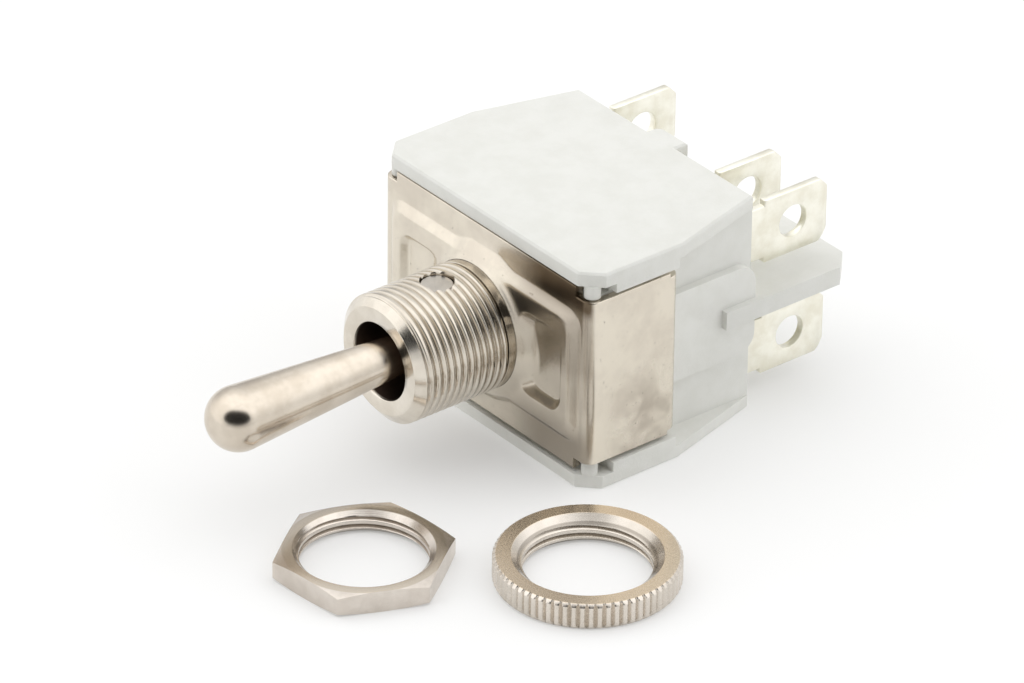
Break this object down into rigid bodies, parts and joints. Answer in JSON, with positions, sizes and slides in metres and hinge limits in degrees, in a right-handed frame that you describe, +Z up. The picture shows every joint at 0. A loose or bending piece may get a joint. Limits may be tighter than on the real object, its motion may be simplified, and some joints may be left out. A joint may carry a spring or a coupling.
{
  "type": "toggle switch",
  "caption": "Panel-mount toggle switch with ball-tipped metal lever, threaded bushing, pressed metal frame, moulded case, tab terminals and two loose nuts.",
  "frame": {"origin": "on the bushing's axis, in the plane that a panel seats against", "axes": "-Y along the bushing, towards the lever's tip; +Y towards the terminals; +Z up, along the pivot pin; the lever swings towards +X and -X"},
  "size_m": [0.0482, 0.0622, 0.0218],
  "materials": {
    "nickel_brass": "bright nickel plate on turned brass",
    "nickel_casting": "nickel plate on a die casting with a cut thread",
    "nickel_nut": "nickel plate, faces satin from turning",
    "plated_sheet": "nickel plated steel sheet, pressed and folded",
    "steel": "drawn pin",
    "spring_steel": "coiled wire",
    "moulded_plastic": "pale grey moulded polyamide",
    "phenolic": "dark moulded insulator",
    "acetal": "moulded acetal",
    "silvered_strip": "silver plated brass strip, stamped",
    "copper_alloy": "stamped contact bar",
    "contact_silver": "silver contact rivet"
  },
  "bodies": {
    "root": {"case": "moulded_plastic", "frame": "plated_sheet", "bushing": "nickel_casting", "pivot_pin": "steel", "hex_nut": "nickel_nut", "knurled_nut": "nickel_nut", "terminal_left_upper": "silvered_strip", "terminal_common_upper": "silvered_strip", "terminal_right_upper": "silvered_strip", "fixed_button_left_upper": "contact_silver", "fixed_button_right_upper": "contact_silver", "terminal_left_lower": "silvered_strip", "terminal_common_lower": "silvered_strip", "terminal_right_lower": "silvered_strip", "fixed_button_left_lower": "contact_silver", "fixed_button_right_lower": "contact_silver"},
    "lever": {"lever": "nickel_brass", "actuator": "phenolic", "spring_upper": "spring_steel", "spring_lower": "spring_steel"},
    "plunger_upper": {"plunger_upper": "acetal"},
    "rocker_upper": {"rocker_upper": "copper_alloy", "rocker_button_left_upper": "contact_silver", "rocker_button_right_upper": "contact_silver"},
    "plunger_lower": {"plunger_lower": "acetal"},
    "rocker_lower": {"rocker_lower": "copper_alloy", "rocker_button_left_lower": "contact_silver", "rocker_button_right_lower": "contact_silver"}
  },
  "joints": [
    {"name": "lever_swing", "type": "hinge", "parent": "root", "child": "lever", "pos_m": [0, -0.00465, 0], "axis": [0, 0, 1], "range_deg": [-13, 13]},
    {"name": "plunger_upper_slide", "type": "slide", "parent": "lever", "child": "plunger_upper", "axis": [0, 1, 0], "range_m": [-0.001, 0], "stiffness_N_per_m": 400, "springref_m": 0.003, "deforming": ["spring_upper"]},
    {"name": "rocker_upper_rock", "type": "hinge", "parent": "root", "child": "rocker_upper", "pos_m": [0, 0.01395, 0.0042], "axis": [0, 0, 1], "range_deg": [-6, 6]},
    {"name": "plunger_lower_slide", "type": "slide", "parent": "lever", "child": "plunger_lower", "axis": [0, 1, 0], "range_m": [-0.001, 0], "stiffness_N_per_m": 400, "springref_m": 0.003, "deforming": ["spring_lower"]},
    {"name": "rocker_lower_rock", "type": "hinge", "parent": "root", "child": "rocker_lower", "pos_m": [0, 0.01395, -0.0042], "axis": [0, 0, 1], "range_deg": [-6, 6]}
  ],
  "couplings": [
    {"joint": "rocker_upper_rock", "follows": "lever_swing", "ratio": -0.45},
    {"joint": "rocker_lower_rock", "follows": "lever_swing", "ratio": -0.45}
  ]
}
